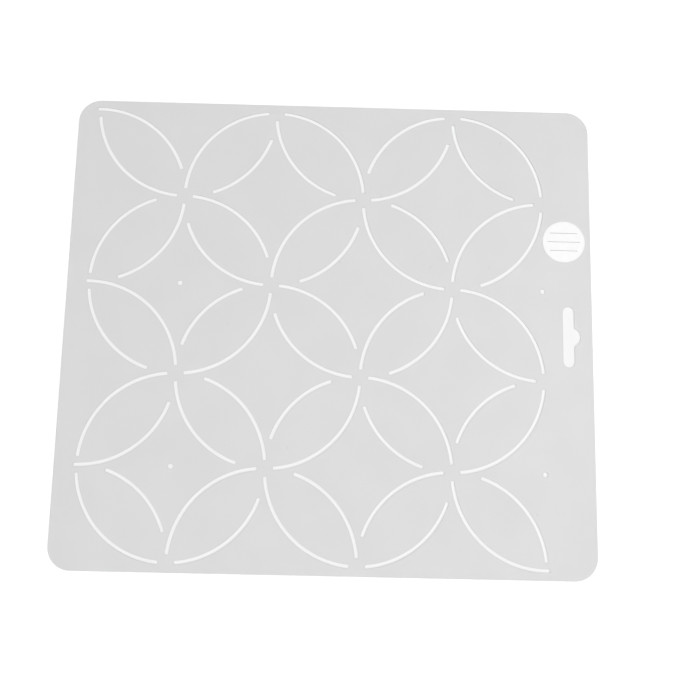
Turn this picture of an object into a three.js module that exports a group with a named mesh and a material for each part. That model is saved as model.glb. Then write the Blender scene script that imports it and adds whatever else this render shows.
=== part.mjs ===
// Quilting template: a thin frosted plastic sheet with a pattern of overlapping circles cut through it
// as arc slots for a marking pencil, four pin holes, a hanging slot and a round stuck-on label.
// Millimetres, +Z up. The sheet lies flat, and the origin is under its middle, on the face that
// rests on the cloth. +X points to the border with the hanging slot.

import * as THREE from "three";

// Pattern of overlapping circles. Columns count from the left, rows from the far edge.
const COLUMNS = 5;
const ROWS = 5;
const PITCH = 50; // from one crossing to the next line of crossings, and the radius of every circle
const SLOT_WIDTH = 1.8;
const SLOT_CORNER_RADIUS = 0.3;
const SLOT_CORNER_SHARE = 0.45; // most of the slot's width that one corner may take up
const CROSSING_LAND = 8.7; // uncut land between two slot ends that face each other across a crossing
const SLOT_WEB = 3.2; // sheet left between two slots where they draw together towards a crossing

// Two slots leave a crossing side by side in each direction. At "c" the one on the clockwise side
// comes up to the crossing and the other stops short, at "a" it is the other way round.
const CROSSING_TURNS = ["..a.a.", ".c.a.a", "c.c.c.", ".a.c.c", "a.a.a.", ".c.a.."];
// Crossings, as [column, row], where the slot that leaves sideways runs on over the crossing point.
const RUN_ON_CROSSINGS = [[0, 0], [0, 2], [0, 4], [COLUMNS, ROWS]];
const RUN_ON_REACH = 1.5; // how far it runs on
// Centres of the pin holes, as [column, row].
const PIN_HOLES = [[1, 2], [COLUMNS, 2], [1, ROWS - 1], [COLUMNS, ROWS - 1]];
const PIN_HOLE_DIAMETER = 2.6;

// Sheet. The borders run from the outermost slot to the edge of the sheet.
const SHEET_THICKNESS = 0.5;
const CORNER_RADIUS = 12.5;
const FAR_BORDER = 4.1;
const NEAR_BORDER = 4.1;
const LEFT_BORDER = 11.1;

// Hanging slot in the right border: a long slot with round ends and a round crown for the peg.
const HANG_SLOT_LENGTH = 33.6;
const HANG_SLOT_WIDTH = 6.2;
const HANG_CROWN_RADIUS = 5;
const HANG_CROWN_RISE = 3.3; // how far the crown stands out of the slot's side
const HANG_FILLET_RADIUS = 1; // where the crown meets the slot's side
const HANG_EDGE_STRIP = 6.6; // sheet between the crown and the edge
const HANG_INNER_STRIP = 10; // sheet between the slot and the pattern

// Round label on the upper face of the right border.
const LABEL_DIAMETER = 23.4;
const LABEL_THICKNESS = 0.1;
const ADHESIVE_THICKNESS = 0.04;
const ADHESIVE_SETBACK = 0.15; // from the label's rim to the rim of its adhesive
const LABEL_EDGE_STRIP = 3.2; // sheet between the label and the edge
const LABEL_OFFSET = 53.7; // from the hanging slot's middle to the label's middle

// Straight steps that stand for each round stretch
const SLOT_STEPS = 12;
const SLOT_CORNER_STEPS = 2;
const SHEET_CORNER_STEPS = 10;
const HANG_END_STEPS = 12;
const HANG_CROWN_STEPS = 12;
const HANG_FILLET_STEPS = 4;
const PIN_HOLE_STEPS = 16;
const LABEL_STEPS = 64;

// Sizes that follow from those above
const RIGHT_BORDER = HANG_EDGE_STRIP + HANG_CROWN_RISE + HANG_SLOT_WIDTH + HANG_INNER_STRIP;
const SHEET_LENGTH = LEFT_BORDER + SLOT_WIDTH + COLUMNS * PITCH + RIGHT_BORDER;
const SHEET_WIDTH = NEAR_BORDER + SLOT_WIDTH + ROWS * PITCH + FAR_BORDER;
const RIGHT_EDGE = SHEET_LENGTH / 2;
const FIRST_COLUMN_X = -SHEET_LENGTH / 2 + LEFT_BORDER + SLOT_WIDTH / 2;
const FIRST_ROW_Y = SHEET_WIDTH / 2 - FAR_BORDER - SLOT_WIDTH / 2;
const MIDDLE_ROW_Y = FIRST_ROW_Y - (ROWS * PITCH) / 2;
const HANG_SLOT_X = RIGHT_EDGE - HANG_EDGE_STRIP - HANG_CROWN_RISE - HANG_SLOT_WIDTH / 2;
const LABEL_X = RIGHT_EDGE - LABEL_EDGE_STRIP - LABEL_DIAMETER / 2;

// How far each kind of slot end stays from its crossing, as an angle about the circle's centre.
// Two circles that touch at a crossing are 2 * PITCH * (1 - cos(angle)) apart at that angle from it.
const CLOSE_END = CROSSING_LAND / 2 / PITCH;
const SHORT_END = Math.acos(1 - (SLOT_WEB + SLOT_WIDTH) / (2 * PITCH));
const RUN_ON_END = -RUN_ON_REACH / PITCH;

// Points on a round stretch, both ends included
function arcPoints(centre, radius, from, to, steps) {
  return Array.from({ length: steps + 1 }, (_, step) => {
    const angle = from + ((to - from) * step) / steps;
    return new THREE.Vector2(centre.x + radius * Math.cos(angle), centre.y + radius * Math.sin(angle));
  });
}

function circlePoints(centre, radius, steps) {
  return arcPoints(centre, radius, 0, 2 * Math.PI, steps).slice(0, steps);
}

// Rectangle about the origin with round corners. Its two sides along X are cut into sideSteps.
function roundedRectangle(length, width, radius, cornerSteps, sideSteps) {
  const x = length / 2 - radius;
  const y = width / 2 - radius;
  const corner = (cornerX, cornerY, from) =>
    arcPoints(new THREE.Vector2(cornerX, cornerY), radius, from, from + Math.PI / 2, cornerSteps);
  const along = (sideY, direction) =>
    Array.from({ length: sideSteps - 1 }, (_, step) => {
      const share = (step + 1) / sideSteps;
      return new THREE.Vector2(direction * x * (2 * share - 1), sideY);
    });
  return [
    ...along(-width / 2, 1),
    ...corner(x, -y, -Math.PI / 2),
    ...corner(x, y, 0),
    ...along(width / 2, -1),
    ...corner(-x, y, Math.PI / 2),
    ...corner(-x, -y, Math.PI),
  ];
}

function gridPoint([column, row]) {
  return new THREE.Vector2(FIRST_COLUMN_X + column * PITCH, FIRST_ROW_Y - row * PITCH);
}

// Angle between a crossing and the end of a slot that leaves it towards another crossing.
// cell is the grid square that the slot lies in, and centre its circle's centre.
function endAngle(crossing, other, centre, cell) {
  const [column, row] = crossing;
  const step = [other[0] - column, other[1] - row];
  const sideways = column === centre[0];
  const leaving = sideways ? [step[0], 0] : [0, step[1]];
  const bulge = sideways ? [0, step[1]] : [step[0], 0];
  const twin = [cell[0] - bulge[0], cell[1] - bulge[1]];
  const hasTwin = twin[0] >= 0 && twin[0] < COLUMNS && twin[1] >= 0 && twin[1] < ROWS;
  const bulgesClockwise = bulge[0] === -leaving[1] && bulge[1] === leaving[0];
  const turns = CROSSING_TURNS[row % CROSSING_TURNS.length];
  const turnsClockwise = turns[column % turns.length] === "c";
  if (hasTwin && bulgesClockwise !== turnsClockwise) return SHORT_END;
  const runsOn = RUN_ON_CROSSINGS.some((point) => point[0] === column && point[1] === row);
  return sideways && runsOn ? RUN_ON_END : CLOSE_END;
}

// Outline of a slot on the quarter circle from crossing a to crossing b: a rounded rectangle bent round it
function arcSlot(a, b, centre, cell) {
  const middle = gridPoint(centre);
  const start = gridPoint(a).sub(middle).angle();
  const turn = Math.sign(gridPoint(a).sub(middle).cross(gridPoint(b).sub(middle)));
  const from = endAngle(a, b, centre, cell);
  const to = Math.PI / 2 - endAngle(b, a, centre, cell);
  const radius = Math.min(SLOT_CORNER_RADIUS, SLOT_CORNER_SHARE * SLOT_WIDTH);
  const length = (to - from) * PITCH;
  return roundedRectangle(length, SLOT_WIDTH, radius, SLOT_CORNER_STEPS, SLOT_STEPS).map((point) => {
    const angle = start + turn * ((from + to) / 2 + point.x / PITCH);
    const reach = PITCH + point.y;
    return new THREE.Vector2(middle.x + reach * Math.cos(angle), middle.y + reach * Math.sin(angle));
  });
}

// The two slots of one grid square, which make a petal between opposite corners of it
function petalSlots(column, row) {
  const cell = [column, row];
  const corners = [cell, [column + 1, row], [column + 1, row + 1], [column, row + 1]];
  const first = (column + row) % 2;
  const [a, centre, b, otherCentre] = corners.map((_, index) => corners[(index + first) % corners.length]);
  return [arcSlot(a, b, centre, cell), arcSlot(a, b, otherCentre, cell)];
}

function patternSlots() {
  const slots = [];
  for (let row = 0; row < ROWS; row += 1) {
    for (let column = 0; column < COLUMNS; column += 1) slots.push(...petalSlots(column, row));
  }
  return slots;
}

// Long slot along Y with round ends. Its crown faces +X and runs into the side by two fillets.
function hangSlot() {
  const half = HANG_SLOT_WIDTH / 2;
  const endY = HANG_SLOT_LENGTH / 2 - half;
  const crownX = half + HANG_CROWN_RISE - HANG_CROWN_RADIUS;
  const filletX = half + HANG_FILLET_RADIUS;
  const filletY = Math.sqrt((HANG_CROWN_RADIUS + HANG_FILLET_RADIUS) ** 2 - (filletX - crownX) ** 2);
  const crownAngle = Math.atan2(filletY, filletX - crownX);
  const place = (x, y) => new THREE.Vector2(HANG_SLOT_X + x, MIDDLE_ROW_Y + y);
  const fillet = (y, from, to) =>
    arcPoints(place(filletX, y), HANG_FILLET_RADIUS, from, to, HANG_FILLET_STEPS);
  const crown = arcPoints(place(crownX, 0), HANG_CROWN_RADIUS, -crownAngle, crownAngle, HANG_CROWN_STEPS);
  return [
    ...arcPoints(place(0, -endY), half, -Math.PI, 0, HANG_END_STEPS),
    ...fillet(-filletY, Math.PI, Math.PI - crownAngle).slice(0, -1),
    ...crown,
    ...fillet(filletY, Math.PI + crownAngle, Math.PI).slice(1),
    ...arcPoints(place(0, endY), half, 0, Math.PI, HANG_END_STEPS),
  ];
}

function pinHoles() {
  return PIN_HOLES.map((point) => circlePoints(gridPoint(point), PIN_HOLE_DIAMETER / 2, PIN_HOLE_STEPS));
}

// Flat piece of even thickness that stands on z = 0
function plate(outline, thickness, holes = []) {
  const shape = new THREE.Shape(outline);
  shape.holes = holes.map((hole) => new THREE.Path(hole));
  return new THREE.ExtrudeGeometry(shape, { depth: thickness, bevelEnabled: false });
}

function piece(name, geometry, finish) {
  const mesh = new THREE.Mesh(geometry, new THREE.MeshStandardMaterial(finish));
  mesh.name = name;
  return mesh;
}

const FROSTED_PLASTIC = { color: 0xdadada, roughness: 0.5, metalness: 0, transparent: true, opacity: 0.85 };
const COATED_PAPER = { color: 0xfafafa, roughness: 0.4, metalness: 0 };
const CLEAR_ADHESIVE = { color: 0xf0efe8, roughness: 0.3, metalness: 0, transparent: true, opacity: 0.6 };

function templateSheet() {
  const outline = roundedRectangle(SHEET_LENGTH, SHEET_WIDTH, CORNER_RADIUS, SHEET_CORNER_STEPS, 1);
  const holes = [...patternSlots(), ...pinHoles(), hangSlot()];
  return piece("template_sheet", plate(outline, SHEET_THICKNESS, holes), FROSTED_PLASTIC);
}

// Adhesive layer with the label's paper on it, stacked on z = 0
function label() {
  const disc = (diameter, thickness) =>
    plate(circlePoints(new THREE.Vector2(), diameter / 2, LABEL_STEPS), thickness);
  const adhesiveDiameter = LABEL_DIAMETER - 2 * ADHESIVE_SETBACK;
  const adhesive = piece("label_adhesive", disc(adhesiveDiameter, ADHESIVE_THICKNESS), CLEAR_ADHESIVE);
  const paper = piece("label_paper", disc(LABEL_DIAMETER, LABEL_THICKNESS), COATED_PAPER);
  paper.position.z = ADHESIVE_THICKNESS;
  return new THREE.Group().add(adhesive, paper);
}

const stuckLabel = label();
stuckLabel.position.set(LABEL_X, MIDDLE_ROW_Y + LABEL_OFFSET, SHEET_THICKNESS);

export default new THREE.Group().add(templateSheet(), stuckLabel);
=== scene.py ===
"""Looks of a quilting template: a frosted plastic sheet cut through by arc slots, with a round label.

Metres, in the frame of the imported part: +X to the border with the hanging slot, +Y to the far edge, +Z up.
"""

import math

import bpy
import numpy as np
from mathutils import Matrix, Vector, geometry


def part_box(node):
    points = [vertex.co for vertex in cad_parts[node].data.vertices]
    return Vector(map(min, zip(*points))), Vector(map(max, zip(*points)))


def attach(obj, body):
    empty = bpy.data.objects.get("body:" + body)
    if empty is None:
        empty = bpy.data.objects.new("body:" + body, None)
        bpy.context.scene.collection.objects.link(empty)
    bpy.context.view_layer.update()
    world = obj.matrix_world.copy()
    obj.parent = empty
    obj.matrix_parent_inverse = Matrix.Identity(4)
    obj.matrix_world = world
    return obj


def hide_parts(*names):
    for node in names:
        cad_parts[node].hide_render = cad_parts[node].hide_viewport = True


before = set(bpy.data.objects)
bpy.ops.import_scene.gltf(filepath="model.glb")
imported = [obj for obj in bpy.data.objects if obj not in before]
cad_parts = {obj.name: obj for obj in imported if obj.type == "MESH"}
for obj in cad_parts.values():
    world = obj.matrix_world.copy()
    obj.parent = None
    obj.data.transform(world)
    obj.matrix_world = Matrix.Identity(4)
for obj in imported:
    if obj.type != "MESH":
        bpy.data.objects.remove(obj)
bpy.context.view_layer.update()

MM = 0.001

# Pattern of overlapping circles. A crossing is (column, row), from the left and from the far edge.
COLUMNS = 5
ROWS = 5
PITCH = 50 * MM  # from one line of crossings to the next, and the radius of every circle
SLOT_WIDTH = 1.8 * MM
SLOT_CORNER_RADIUS = 0.3 * MM
CROSSING_LAND = 8.7 * MM  # uncut land between two slot ends that face each other across a crossing
SLOT_WEB = 3.2 * MM  # sheet left between two slots where they draw together towards a crossing

# Two slots leave a crossing side by side in each direction. At "c" the one on the clockwise side
# comes up to the crossing and the other stops short, at "a" it is the other way round.
CROSSING_TURNS = ["..a.a.", ".c.a.a", "c.c.c.", ".a.c.c", "a.a.a.", ".c.a.."]
# Crossings where the slot that leaves sideways runs on over the crossing point
RUN_ON_CROSSINGS = [(0, 0), (0, 2), (0, 4), (COLUMNS, ROWS)]
RUN_ON_REACH = 1.5 * MM  # how far it runs on
PIN_HOLES = [(1, 2), (COLUMNS, 2), (1, ROWS - 1), (COLUMNS, ROWS - 1)]
PIN_HOLE_DIAMETER = 2.6 * MM

# Sheet. The borders run from the outermost slot to the edge of the sheet.
SHEET_LOW, SHEET_HIGH = (np.array(corner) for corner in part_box("template_sheet"))
SHEET_LENGTH, SHEET_WIDTH = (SHEET_HIGH - SHEET_LOW)[:2]
CORNER_RADIUS = 12.5 * MM
LEFT_BORDER = 11.1 * MM
FAR_BORDER = 4.1 * MM
EDGE_EASE = 0.08 * MM  # how far each cut edge is rounded over
RUBBED_AND_SHADED_STRIP = 0.8 * MM  # face beside each cut that the cutter rubs shinier, and that is painted darker towards the cut as shade

# Hanging slot
HANG_SLOT_LENGTH = 33.6 * MM
HANG_SLOT_WIDTH = 6.2 * MM
HANG_CROWN_RADIUS = 5 * MM
HANG_CROWN_RISE = 3.3 * MM  # how far the crown stands out of the slot's side
HANG_FILLET_RADIUS = 1 * MM  # where the crown meets the slot's side
HANG_EDGE_STRIP = 6.6 * MM  # sheet between the crown and the edge

# Label
PAPER_LOW, PAPER_HIGH = (np.array(corner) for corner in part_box("label_paper"))
PAPER_EASE = 0.03 * MM  # how far its rim is rounded over
RULE_COUNT = 3  # lines to write on, an odd number, so that one runs through the middle
RULE_SPACING = 5 * MM
RULE_WIDTH = 0.3 * MM
RULE_BLUR = 0.06 * MM  # width over which the ink fades at each side of a line
RULE_REACH = 9.2 * MM  # from the label's middle to the ends of the lines

# Steps that stand for each round stretch
SLOT_STEPS = 36
SLOT_CORNER_STEPS = 4
SHEET_CORNER_STEPS = 32
HANG_STEPS = 24
PIN_HOLE_STEPS = 32
EASE_STEPS = 4
LABEL_STEPS = 160

# Grain and marks that the finishes share
GRAIN_DETAIL = 3  # octaves of noise in the grain
CLOUD_DETAIL = 4  # and in the clouds
CLOUD_LEVELS = (0.3, 0.7)  # noise at which a cloud starts, and at which it is full
STROKE_FULL_SHARE = 0.4  # share of a mark's length that is at full strength, before its ends fade
FAINTEST_STROKE = 0.3  # strength of the faintest marks, where the strongest have 1

# Frosted plastic of the sheet. Each roughness is given between the clouds and in them.
SHEET_GREY = 0.740
SHEET_CLOUD_GREY = 0.732
SHEET_ROUGHNESS = (0.40, 0.46)
SHEET_GRAIN = {"Grain": 0.3 * MM, "Clouds": 26 * MM}
SHEET_BUMP = {"Strength": 0.25, "Distance": 0.02 * MM}
SHEET_BODY = {
    "IOR": 1.49,
    "Transmission Weight": 0.05,
    "Subsurface Weight": 1,
    "Subsurface Radius": (1, 1, 1),
    "Subsurface Scale": 0.4 * MM,  # how far light spreads inside the sheet
}
HAIRLINES = {"Cell": 21 * MM, "Length": 13 * MM, "Width": 0.12 * MM, "Share": 0.6}
HAIRLINE_SHINE = 0.12  # how much less rough it is than the sheet
SCUFFS = {"Cell": 34 * MM, "Length": 2.4 * MM, "Width": 0.9 * MM, "Share": 0.35}
SCUFF_GREY = 0.50
SCUFF_STRENGTH = 0.35
# Painted shade: the colour darkens towards each cut edge, across the strip beside it
EDGE_SHADE_GREY = 0.64
EDGE_SHADE_STRENGTH = 0.4
RUBBED_SHINE = 0.10

# Coated paper of the label
PAPER_WHITE = 0.915
PAPER_CLOUD_WHITE = 0.895
PAPER_ROUGHNESS = (0.42, 0.5)
PAPER_GRAIN = {"Grain": 0.2 * MM, "Clouds": 3 * MM}
PAPER_BUMP = {"Strength": 0.15, "Distance": 0.01 * MM}
INK_GREY = 0.42

# Clear adhesive under the label
ADHESIVE_COLOUR = (0.80, 0.78, 0.72, 1)
ADHESIVE_CLOUD_COLOUR = (0.752, 0.733, 0.677, 1)
ADHESIVE_ROUGHNESS = (0.15, 0.3)
ADHESIVE_GRAIN = {"Grain": 0.4 * MM, "Clouds": 2 * MM}
ADHESIVE_BUMP = {"Strength": 0.2, "Distance": 0.01 * MM}
ADHESIVE_BODY = {"IOR": 1.47, "Transmission Weight": 0.5}

# Light
WORLD_LIGHT = 0.35
KEY_PLACE = (0.12, -0.1, 1.0)
KEY_STRENGTH = 1.8
KEY_SOFTNESS = 70  # degrees across the lamp, as seen from the sheet
FILLS = {  # place and power of each soft lamp
    "side_fill": ((0.3, 0.02, 0.4), 0.22),
    "front_fill": ((-0.05, -0.35, 0.25), 0.05),
}
FILL_SIZE = 0.3

# White table
FLOOR_WHITE = 0.912
FLOOR_LIFT = 0.18  # light of its own that shows beside the sheet
FLOOR_REACH = 12  # from its middle to its sides
FLOOR_HEIGHT = -0.05 * MM  # just below the sheet's underside

# Camera, fitted to the photograph's frame
CAMERA_PLACE = (1.2 * MM, -83.3 * MM, 474.9 * MM)
CAMERA_TURN = (9.391, -0.801, 1.269)  # degrees about X, Y and Z, from looking straight down
CAMERA_LENS = 46.66  # focal length and sensor width are in millimetres
CAMERA_SENSOR = 36.0
CAMERA_CLIP = (0.01, 50)  # nearest and farthest that it shows

# Places that follow from the sizes above
FIRST_COLUMN_X = SHEET_LOW[0] + LEFT_BORDER + SLOT_WIDTH / 2
FIRST_ROW_Y = SHEET_HIGH[1] - FAR_BORDER - SLOT_WIDTH / 2
MIDDLE_ROW_Y = FIRST_ROW_Y - ROWS * PITCH / 2

# How far each kind of slot end stays from its crossing, as an angle about the circle's centre.
# Two circles that touch at a crossing are 2 * PITCH * (1 - cos(angle)) apart at that angle from it.
CLOSE_END = CROSSING_LAND / 2 / PITCH
SHORT_END = math.acos(1 - (SLOT_WEB + SLOT_WIDTH) / (2 * PITCH))
RUN_ON_END = -RUN_ON_REACH / PITCH


# Outlines

def arc(centre, radius, start, stop, steps):
    """Points at even angles on a circle, both ends included."""
    angle = np.linspace(start, stop, steps + 1)
    return np.asarray(centre) + radius * np.stack([np.cos(angle), np.sin(angle)], axis=1)


def ring(centre, radius, steps):
    """Closed circle, anticlockwise: an arc of a whole turn without its last point."""
    return arc(centre, radius, 0, 2 * math.pi, steps)[:-1]


def rounded_rectangle(length, width, radius, corner_steps, side_steps):
    """Rectangle about the origin, anticlockwise.

    It has a quarter circle at each corner, and even steps along the two sides in X.
    """
    x = length / 2 - radius
    y = width / 2 - radius
    along = np.linspace(-x, x, side_steps + 1)[1:-1]
    side = np.full_like(along, width / 2)
    quarter = math.pi / 2
    return np.concatenate([
        np.stack([along, -side], axis=1),
        arc((x, -y), radius, -quarter, 0, corner_steps),
        arc((x, y), radius, 0, quarter, corner_steps),
        np.stack([along[::-1], side], axis=1),
        arc((-x, y), radius, quarter, 2 * quarter, corner_steps),
        arc((-x, -y), radius, 2 * quarter, 3 * quarter, corner_steps),
    ])


def grid_point(crossing):
    """Place of a crossing: whole pitches right of the first column, and nearer than the first row."""
    column, row = crossing
    return np.array([FIRST_COLUMN_X + column * PITCH, FIRST_ROW_Y - row * PITCH])


def end_angle(crossing, other, centre, cell):
    """Angle between a crossing and the end of the slot that leaves it towards another crossing.

    cell is the grid square that the slot lies in, and centre its circle's centre. The slot's twin leaves
    the crossing in the same direction and bulges to the other side. One of them comes close to the
    crossing and one stops short.
    """
    column, row = crossing
    step = (other[0] - column, other[1] - row)
    sideways = column == centre[0]
    leaving = (step[0], 0) if sideways else (0, step[1])
    bulge = (0, step[1]) if sideways else (step[0], 0)
    twin = (cell[0] - bulge[0], cell[1] - bulge[1])
    has_twin = 0 <= twin[0] < COLUMNS and 0 <= twin[1] < ROWS
    bulges_clockwise = bulge == (-leaving[1], leaving[0])
    turns_clockwise = CROSSING_TURNS[row][column] == "c"
    if has_twin and bulges_clockwise != turns_clockwise:
        return SHORT_END
    return RUN_ON_END if sideways and crossing in RUN_ON_CROSSINGS else CLOSE_END


def arc_slot(a, b, centre, cell):
    """Slot on the quarter circle from crossing a to crossing b: a rounded rectangle bent round the circle.

    A point (x, y) of the rectangle goes to angle x / PITCH from the slot's middle, at radius PITCH + y.
    The outline runs clockwise.
    """
    middle = grid_point(centre)
    to_a = grid_point(a) - middle
    to_b = grid_point(b) - middle
    turn = np.sign(to_a[0] * to_b[1] - to_a[1] * to_b[0])
    start = end_angle(a, b, centre, cell)
    stop = math.pi / 2 - end_angle(b, a, centre, cell)
    flat = rounded_rectangle(
        (stop - start) * PITCH, SLOT_WIDTH, SLOT_CORNER_RADIUS, SLOT_CORNER_STEPS, SLOT_STEPS
    )
    angle = math.atan2(to_a[1], to_a[0]) + turn * ((start + stop) / 2 + flat[:, 0] / PITCH)
    reach = PITCH + flat[:, 1]
    bent = middle + np.stack([reach * np.cos(angle), reach * np.sin(angle)], axis=1)
    return bent if turn > 0 else bent[::-1]


def pattern_slots():
    """The two slots of every grid square, which make a petal between opposite corners of it."""
    slots = []
    for row in range(ROWS):
        for column in range(COLUMNS):
            cell = (column, row)
            corners = [cell, (column + 1, row), (column + 1, row + 1), (column, row + 1)]
            first = (column + row) % 2
            a, centre, b, other_centre = corners[first:] + corners[:first]
            slots += [arc_slot(a, b, centre, cell), arc_slot(a, b, other_centre, cell)]
    return slots


def hang_slot():
    """Long slot along Y with half-round ends, clockwise.

    Its crown is an arc that faces +X and runs into the side by a fillet at each end.
    """
    half = HANG_SLOT_WIDTH / 2
    end_y = HANG_SLOT_LENGTH / 2 - half
    crown_x = half + HANG_CROWN_RISE - HANG_CROWN_RADIUS
    fillet_x = half + HANG_FILLET_RADIUS
    fillet_y = math.sqrt((HANG_CROWN_RADIUS + HANG_FILLET_RADIUS) ** 2 - (fillet_x - crown_x) ** 2)
    crown = math.atan2(fillet_y, fillet_x - crown_x)
    outline = np.concatenate([
        arc((0, -end_y), half, -math.pi, 0, HANG_STEPS),
        arc((fillet_x, -fillet_y), HANG_FILLET_RADIUS, math.pi, math.pi - crown, HANG_STEPS)[:-1],
        arc((crown_x, 0), HANG_CROWN_RADIUS, -crown, crown, HANG_STEPS),
        arc((fillet_x, fillet_y), HANG_FILLET_RADIUS, math.pi + crown, math.pi, HANG_STEPS)[1:],
        arc((0, end_y), half, 0, math.pi, HANG_STEPS),
    ])
    x = SHEET_HIGH[0] - HANG_EDGE_STRIP - HANG_CROWN_RISE - half
    return (outline + (x, MIDDLE_ROW_Y))[::-1]


def pin_hole(crossing):
    """Circle about a crossing, clockwise."""
    return ring(grid_point(crossing), PIN_HOLE_DIAMETER / 2, PIN_HOLE_STEPS)[::-1]


def sheet_loops():
    """Outline of the sheet, anticlockwise, then of every cut, clockwise. The sheet is on their left."""
    outline = rounded_rectangle(SHEET_LENGTH, SHEET_WIDTH, CORNER_RADIUS, SHEET_CORNER_STEPS, 1)
    middle = (SHEET_LOW + SHEET_HIGH)[:2] / 2
    return [outline + middle, *pattern_slots(), *map(pin_hole, PIN_HOLES), hang_slot()]


# Meshes

def left_of(loop):
    """Unit normals to the left of a closed path, square to the chord between a point's two neighbours."""
    chord = np.roll(loop, -1, axis=0) - np.roll(loop, 1, axis=0)
    normal = np.stack([-chord[:, 1], chord[:, 0]], axis=1)
    return normal / np.linalg.norm(normal, axis=1, keepdims=True)


def eased_edge(low, high, ease):
    """Profile of an edge, from the upper face to the lower one: quarter circle, wall, quarter circle.

    Its columns are the distance in from the edge, the height, and how much rubbing and painted shade the
    place has:
    1 where a quarter circle meets its face, falling to 0 on the wall.
    """
    angle = np.linspace(0, math.pi / 2, EASE_STEPS + 1)
    inset = ease * (1 - np.sin(angle))
    drop = ease * (1 - np.cos(angle))
    rubbed_and_edge_shade = np.cos(angle)
    upper = np.column_stack([inset, high - drop, rubbed_and_edge_shade])
    lower = np.column_stack([inset, low + drop, rubbed_and_edge_shade])
    return np.concatenate([upper, lower[::-1]])


def carry(profile, loops):
    """Profile carried along closed loops, as rows of vertices and the quads between the rows.

    A vertex is a loop's point, moved to the left by the profile's inset, at the profile's height. The last
    result holds the numbers of each loop's vertices in the first row.
    """
    path = np.concatenate(loops)
    inward = np.concatenate([left_of(loop) for loop in loops])
    plan = path + profile[:, None, :1] * inward
    height = np.broadcast_to(profile[:, None, 1:2], (*plan.shape[:2], 1))
    rows = np.concatenate([plan, height], axis=2)

    count = len(path)
    here = np.arange(count)
    numbers = np.split(here, np.cumsum([len(loop) for loop in loops])[:-1])
    after = np.concatenate([np.roll(loop, -1) for loop in numbers])
    strip = np.column_stack([here, here + count, after + count, after])
    walls = (strip + count * np.arange(len(profile) - 1)[:, None, None]).reshape(-1, 4)
    return rows, walls, numbers


def fill_between(points, loops):
    """Triangles of the flat region inside the first loop and outside the others, all anticlockwise.

    A loop holds the numbers of its points.
    """
    inside_without_holes = 2
    merge_distance = 1e-9
    edges = []
    _, _, made, origins, _, _ = geometry.delaunay_2d_cdt(
        points, edges, [loop.tolist() for loop in loops], inside_without_holes, merge_distance
    )
    triangles = np.ravel(origins)[np.array(made)]
    corner = points[triangles]
    first = corner[:, 1] - corner[:, 0]
    second = corner[:, 2] - corner[:, 0]
    clockwise = first[:, 0] * second[:, 1] < first[:, 1] * second[:, 0]
    triangles[clockwise] = triangles[clockwise][:, ::-1]
    return triangles


def new_piece(name, vertices, faces, smooth):
    """Mesh object at the origin, with its place in its mesh. smooth holds one flag for each face."""
    mesh = bpy.data.meshes.new(name)
    mesh.from_pydata(vertices, [], faces)
    mesh.polygons.foreach_set("use_smooth", smooth)
    mesh.update()
    piece = bpy.data.objects.new(name, mesh)
    bpy.context.scene.collection.objects.link(piece)
    return piece


def make_sheet():
    """An eased edge carried along every loop, with a strip of each face beside it.

    Flat triangles fill what is left of the two faces between the strips.
    """
    profile = np.vstack([
        (RUBBED_AND_SHADED_STRIP, SHEET_HIGH[2], 0),
        eased_edge(SHEET_LOW[2], SHEET_HIGH[2], EDGE_EASE),
        (RUBBED_AND_SHADED_STRIP, SHEET_LOW[2], 0),
    ])
    rows, walls, loops = carry(profile, sheet_loops())
    levels, count = rows.shape[:2]
    upper = fill_between(rows[0, :, :2], loops)
    lower = upper[:, ::-1] + (levels - 1) * count

    faces = walls.tolist() + upper.tolist() + lower.tolist()
    smooth = np.zeros(len(faces), dtype=bool)
    smooth[count:(levels - 2) * count] = True  # all but the strips and the triangles
    sheet = new_piece("sheet", rows.reshape(-1, 3), faces, smooth)
    # One mask for the shine from rubbing and for the painted shade along each cut edge
    rubbed_and_edge_shade = sheet.data.attributes.new("rubbed_and_edge_shade", "FLOAT", "POINT")
    rubbed_and_edge_shade.data.foreach_set("value", np.repeat(profile[:, 2], count))
    return sheet


def make_label():
    """Disc: an eased edge carried round a circle, closed by a flat face above and below."""
    middle = (PAPER_LOW + PAPER_HIGH)[:2] / 2
    radius = (PAPER_HIGH[0] - PAPER_LOW[0]) / 2
    profile = eased_edge(PAPER_LOW[2], PAPER_HIGH[2], PAPER_EASE)
    rows, walls, (rim,) = carry(profile, [ring(middle, radius, LABEL_STEPS)])
    levels, count = rows.shape[:2]
    lower = rim[::-1] + (levels - 1) * count

    faces = walls.tolist() + [rim.tolist(), lower.tolist()]
    smooth = np.arange(len(faces)) < len(walls)
    return new_piece("label", rows.reshape(-1, 3), faces, smooth)


# Shader nodes

def set_inputs(tree, node, inputs):
    """Link each input that is given a socket, and set any other to its value."""
    for name, value in inputs.items():
        if isinstance(value, bpy.types.NodeSocket):
            tree.links.new(value, node.inputs[name])
        else:
            node.inputs[name].default_value = value


def add_node(tree, kind, inputs, **settings):
    """New shader node with its settings and inputs."""
    node = tree.nodes.new("ShaderNode" + kind)
    for name, value in settings.items():
        setattr(node, name, value)
    set_inputs(tree, node, inputs)
    return node


def calculate(tree, operation, *values):
    """Result of a Math node."""
    return add_node(tree, "Math", dict(enumerate(values)), operation=operation).outputs[0]


def product(tree, first, *others):
    """Product of several values."""
    result = first
    for factor in others:
        result = calculate(tree, "MULTIPLY", result, factor)
    return result


def within(tree, coordinate, reach):
    """1 where a coordinate is less than a reach to either side of 0, and 0 elsewhere."""
    return calculate(tree, "LESS_THAN", calculate(tree, "ABSOLUTE", coordinate), reach)


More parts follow.
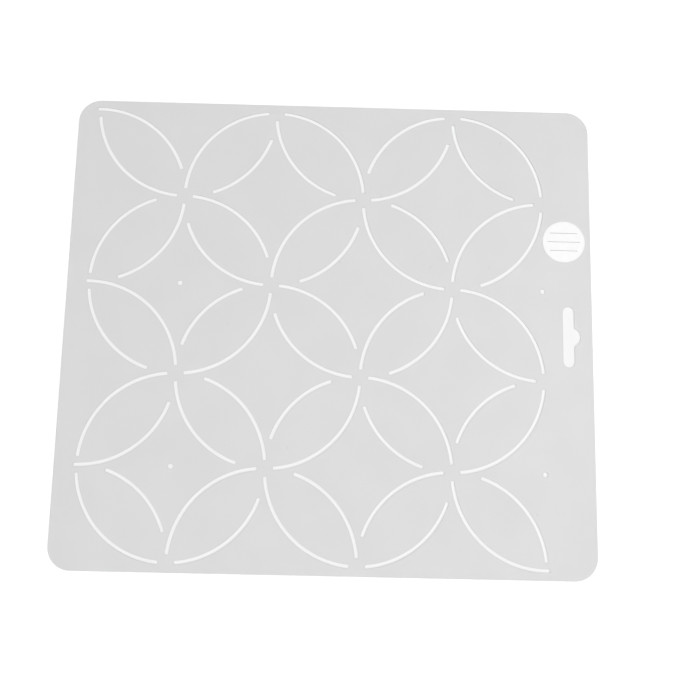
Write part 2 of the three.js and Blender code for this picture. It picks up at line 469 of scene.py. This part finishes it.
def ramp(tree, value, start, stop, low, high):
    """Smooth step of a value: low up to start, high from stop on."""
    inputs = {"Value": value, "From Min": start, "From Max": stop, "To Min": low, "To Max": high}
    return add_node(tree, "MapRange", inputs, interpolation_type="SMOOTHSTEP").outputs["Result"]


def calculate_vector(tree, operation, inputs):
    """Result of a Vector Math node that gives a vector."""
    return add_node(tree, "VectorMath", inputs, operation=operation).outputs["Vector"]


def axes_of(tree, vector):
    """The coordinates of a vector, by the names of their axes."""
    return add_node(tree, "SeparateXYZ", {"Vector": vector}).outputs


def mix_colour(tree, share, first, second):
    """Colour between two colours. Sockets of a Mix node share names, so they go by number."""
    return add_node(tree, "Mix", {0: share, 6: first, 7: second}, data_type="RGBA").outputs[2]


def grey(level):
    """Opaque colour of one level."""
    return (level, level, level, 1)


def noise(tree, place, size, detail):
    """Noise with spots about as wide as a size."""
    inputs = {"Vector": place, "Scale": calculate(tree, "DIVIDE", 1, size), "Detail": detail}
    return add_node(tree, "TexNoise", inputs).outputs["Fac"]


def bump(tree, height, depth):
    """Normal of a surface with a fine height. depth gives the Bump node's Strength and Distance."""
    return add_node(tree, "Bump", {"Height": height, **depth}).outputs["Normal"]


# Shared effects

def new_group(name, inputs, outputs):
    """Shader node group with named sockets. Gives the group, its inputs and the node for its results."""
    group = bpy.data.node_groups.new(name, "ShaderNodeTree")
    for socket in inputs:
        kind = "NodeSocketVector" if socket == "Vector" else "NodeSocketFloat"
        group.interface.new_socket(socket, in_out="INPUT", socket_type=kind)
    for socket in outputs:
        group.interface.new_socket(socket, in_out="OUTPUT", socket_type="NodeSocketFloat")
    given = group.nodes.new("NodeGroupInput").outputs
    return group, given, group.nodes.new("NodeGroupOutput")


def place_group(tree, group, place, sizes):
    """The outputs of a group that is placed in a material with the material's own sizes."""
    return add_node(tree, "Group", {"Vector": place, **sizes}, node_tree=group).outputs


def make_grain_group():
    """Matt surface: the height of a fine grain, and soft clouds from 0 to 1. Both sizes are in metres."""
    group, given, result = new_group("matt_grain", ["Vector", "Grain", "Clouds"], ["Height", "Cloud"])
    clouds = noise(group, given["Vector"], given["Clouds"], CLOUD_DETAIL)
    set_inputs(group, result, {
        "Height": noise(group, given["Vector"], given["Grain"], GRAIN_DETAIL),
        "Cloud": ramp(group, clouds, *CLOUD_LEVELS, 0, 1),
    })
    return group


def make_stroke_group():
    """Short marks at odd angles, at most one in each cell. Sizes are in metres, and Share is of all cells.

    A Voronoi cell gives each mark its middle and, by chance, its angle, bend and strength. The mark is
    what lies within half the length along that angle and within half the width of a parabola, with soft
    rims.
    """
    sizes = ["Cell", "Length", "Width", "Share"]
    group, given, result = new_group("strokes", ["Vector", *sizes], ["Mask"])
    per_cell = calculate(group, "DIVIDE", 1, given["Cell"])
    place = calculate_vector(group, "SCALE", {0: given["Vector"], "Scale": per_cell})
    cells = add_node(group, "TexVoronoi", {"Vector": place, "Scale": 1}, voronoi_dimensions="2D").outputs
    chance = add_node(group, "SeparateColor", {"Color": cells["Color"]}).outputs

    from_middle = calculate_vector(group, "SUBTRACT", {0: place, 1: cells["Position"]})
    turn = {"Vector": from_middle, "Angle": product(group, chance["Red"], math.pi)}
    turned = add_node(group, "VectorRotate", turn, rotation_type="Z_AXIS").outputs["Vector"]
    axes = axes_of(group, turned)
    along = calculate(group, "ABSOLUTE", axes["X"])
    bend = product(group, axes["X"], axes["X"], chance["Blue"])
    across = calculate(group, "ABSOLUTE", calculate(group, "SUBTRACT", axes["Y"], bend))

    half_length = product(group, given["Length"], per_cell, 1 / 2)
    half_width = product(group, given["Width"], per_cell, 1 / 2)
    full_length = product(group, half_length, STROKE_FULL_SHARE)
    mask = product(
        group,
        ramp(group, along, full_length, half_length, 1, 0),
        ramp(group, across, 0, half_width, 1, 0),
        calculate(group, "LESS_THAN", chance["Green"], given["Share"]),
        ramp(group, chance["Blue"], 0, 1, FAINTEST_STROKE, 1),
    )
    set_inputs(group, result, {"Mask": mask})
    return group


MATT_GRAIN = make_grain_group()
STROKES = make_stroke_group()


# Materials

def new_material(name):
    """Material with a Principled shader. Gives it, its tree, the shader and the Object coordinates."""
    material = bpy.data.materials.new(name)
    material.use_nodes = True
    tree = material.node_tree
    shader = tree.nodes["Principled BSDF"]
    return material, tree, shader, add_node(tree, "TexCoord", {}).outputs["Object"]


def frosted_sheet():
    """Translucent plastic: fine matt grain, faint clouds, hairlines, a few scuffs, and cut edges shinier
    from rubbing and painted darker as shade.
    """
    material, tree, shader, place = new_material("frosted_sheet")
    grain = place_group(tree, MATT_GRAIN, place, SHEET_GRAIN)
    hairline = place_group(tree, STROKES, place, HAIRLINES)["Mask"]
    scuff = place_group(tree, STROKES, place, SCUFFS)["Mask"]
    rubbed_and_edge_shade = add_node(tree, "Attribute", {}, attribute_name="rubbed_and_edge_shade").outputs["Fac"]

    colour = mix_colour(tree, grain["Cloud"], grey(SHEET_GREY), grey(SHEET_CLOUD_GREY))
    colour = mix_colour(tree, product(tree, scuff, SCUFF_STRENGTH), colour, grey(SCUFF_GREY))
    # Painted shade along the cut edges: darker colour across the strip beside each cut
    colour = mix_colour(tree, product(tree, rubbed_and_edge_shade, EDGE_SHADE_STRENGTH), colour, grey(EDGE_SHADE_GREY))

    rough = ramp(tree, grain["Cloud"], 0, 1, *SHEET_ROUGHNESS)
    rough = calculate(tree, "MULTIPLY_ADD", hairline, -HAIRLINE_SHINE, rough)
    rough = calculate(tree, "MULTIPLY_ADD", rubbed_and_edge_shade, -RUBBED_SHINE, rough)

    height = calculate(tree, "SUBTRACT", grain["Height"], hairline)
    set_inputs(tree, shader, {
        "Base Color": colour,
        "Roughness": rough,
        "Normal": bump(tree, height, SHEET_BUMP),
        **SHEET_BODY,
    })
    return material


def ruled_lines(tree, place):
    """Mask of the lines to write on: bands along X at whole spacings in Y from the label's middle.

    They end at a circle about the middle, and lie on the upper face alone.
    """
    middle = (PAPER_LOW + PAPER_HIGH) / 2
    centred = add_node(tree, "Mapping", {"Vector": place, "Location": tuple(-middle)}).outputs["Vector"]
    axes = axes_of(tree, centred)
    from_line = calculate(tree, "PINGPONG", axes["Y"], RULE_SPACING / 2)
    from_middle = add_node(tree, "VectorMath", {0: centred}, operation="LENGTH").outputs["Value"]
    return product(
        tree,
        ramp(tree, from_line, (RULE_WIDTH - RULE_BLUR) / 2, (RULE_WIDTH + RULE_BLUR) / 2, 1, 0),
        within(tree, axes["Y"], RULE_COUNT * RULE_SPACING / 2),
        within(tree, from_middle, RULE_REACH),
        calculate(tree, "GREATER_THAN", axes["Z"], 0),
    )


def coated_paper():
    """White coated paper with a faint fibre grain and ruled lines."""
    material, tree, shader, place = new_material("coated_paper")
    grain = place_group(tree, MATT_GRAIN, place, PAPER_GRAIN)
    paper = mix_colour(tree, grain["Cloud"], grey(PAPER_WHITE), grey(PAPER_CLOUD_WHITE))
    set_inputs(tree, shader, {
        "Base Color": mix_colour(tree, ruled_lines(tree, place), paper, grey(INK_GREY)),
        "Roughness": ramp(tree, grain["Cloud"], 0, 1, *PAPER_ROUGHNESS),
        "Normal": bump(tree, grain["Height"], PAPER_BUMP),
    })
    return material


def clear_adhesive():
    """Thin clear layer, a little cloudy, whose rim shows under the paper."""
    material, tree, shader, place = new_material("clear_adhesive")
    grain = place_group(tree, MATT_GRAIN, place, ADHESIVE_GRAIN)
    set_inputs(tree, shader, {
        "Base Color": mix_colour(tree, grain["Cloud"], ADHESIVE_COLOUR, ADHESIVE_CLOUD_COLOUR),
        "Roughness": ramp(tree, grain["Cloud"], 0, 1, *ADHESIVE_ROUGHNESS),
        "Normal": bump(tree, grain["Height"], ADHESIVE_BUMP),
        **ADHESIVE_BODY,
    })
    return material


def give_finish(piece, material):
    """Make a material the only one of a piece."""
    piece.data.materials.clear()
    piece.data.materials.append(material)


# Stage

def seen_directly(tree):
    """1 for rays that show the backdrop itself or its reflection, and 0 for rays that light the object."""
    path = add_node(tree, "LightPath", {}).outputs
    seen = calculate(tree, "MAXIMUM", path["Is Camera Ray"], path["Is Glossy Ray"])
    return calculate(tree, "MAXIMUM", seen, path["Is Transmission Ray"])


def make_floor():
    """White table. A little light of its own, seen but not cast, takes it up to the white of the backdrop.

    It has none under the cuts, which show the table in the sheet's shade. That stretch ends under the
    sheet's borders.
    """
    square = np.array([(-1, -1, 0), (1, -1, 0), (1, 1, 0), (-1, 1, 0)])
    floor = new_piece("floor", square * FLOOR_REACH + (0, 0, FLOOR_HEIGHT), [(0, 1, 2, 3)], [False])

    material, tree, shader, place = new_material("white_table")
    tree.nodes.remove(shader)
    axes = axes_of(tree, place)
    under_length = within(tree, axes["X"], SHEET_LENGTH / 2 - HANG_EDGE_STRIP)
    under_width = within(tree, axes["Y"], SHEET_WIDTH / 2 - FAR_BORDER)
    beside = calculate(tree, "SUBTRACT", 1, product(tree, under_length, under_width))
    lift = product(tree, seen_directly(tree), beside, FLOOR_LIFT)
    white = add_node(tree, "BsdfDiffuse", {"Color": grey(FLOOR_WHITE)}).outputs["BSDF"]
    glow = add_node(tree, "Emission", {"Strength": lift}).outputs["Emission"]
    both = add_node(tree, "AddShader", {0: white, 1: glow}).outputs["Shader"]
    set_inputs(tree, tree.nodes["Material Output"], {"Surface": both})
    give_finish(floor, material)


def make_world():
    """White all round, that lights the object less than it shows."""
    world = bpy.data.worlds.new("studio")
    bpy.context.scene.world = world
    world.use_nodes = True
    tree = world.node_tree
    level = add_node(tree, "MapRange", {"Value": seen_directly(tree), "To Min": WORLD_LIGHT, "To Max": 1})
    set_inputs(tree, tree.nodes["Background"], {"Color": grey(1), "Strength": level.outputs["Result"]})


def place_lamp(name, kind, place, **settings):
    """Lamp that looks at the middle of the sheet, and that no view shows."""
    lamp = bpy.data.lights.new(name, kind)
    for setting, value in settings.items():
        setattr(lamp, setting, value)
    light = bpy.data.objects.new(name, lamp)
    light.location = place
    light.rotation_euler = (-Vector(place)).to_track_quat("-Z", "Y").to_euler()
    light.visible_camera = False
    bpy.context.scene.collection.objects.link(light)


def make_camera():
    """Camera of the main view."""
    data = bpy.data.cameras.new("camera")
    data.sensor_width = CAMERA_SENSOR
    data.lens = CAMERA_LENS
    data.clip_start, data.clip_end = CAMERA_CLIP
    camera = bpy.data.objects.new("camera", data)
    camera.location = CAMERA_PLACE
    camera.rotation_euler = [math.radians(angle) for angle in CAMERA_TURN]
    bpy.context.scene.collection.objects.link(camera)
    bpy.context.scene.camera = camera


sheet = make_sheet()
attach(sheet, "root")
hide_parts("template_sheet")
give_finish(sheet, frosted_sheet())

label = make_label()
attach(label, "root")
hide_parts("label_paper")
give_finish(label, coated_paper())

give_finish(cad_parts["label_adhesive"], clear_adhesive())

make_floor()
make_world()
make_camera()
place_lamp("key", "SUN", KEY_PLACE, energy=KEY_STRENGTH, angle=math.radians(KEY_SOFTNESS))
for name, (place, power) in FILLS.items():
    place_lamp(name, "AREA", place, energy=power, shape="DISK", size=FILL_SIZE)
bpy.context.scene.view_settings.view_transform = "Standard"
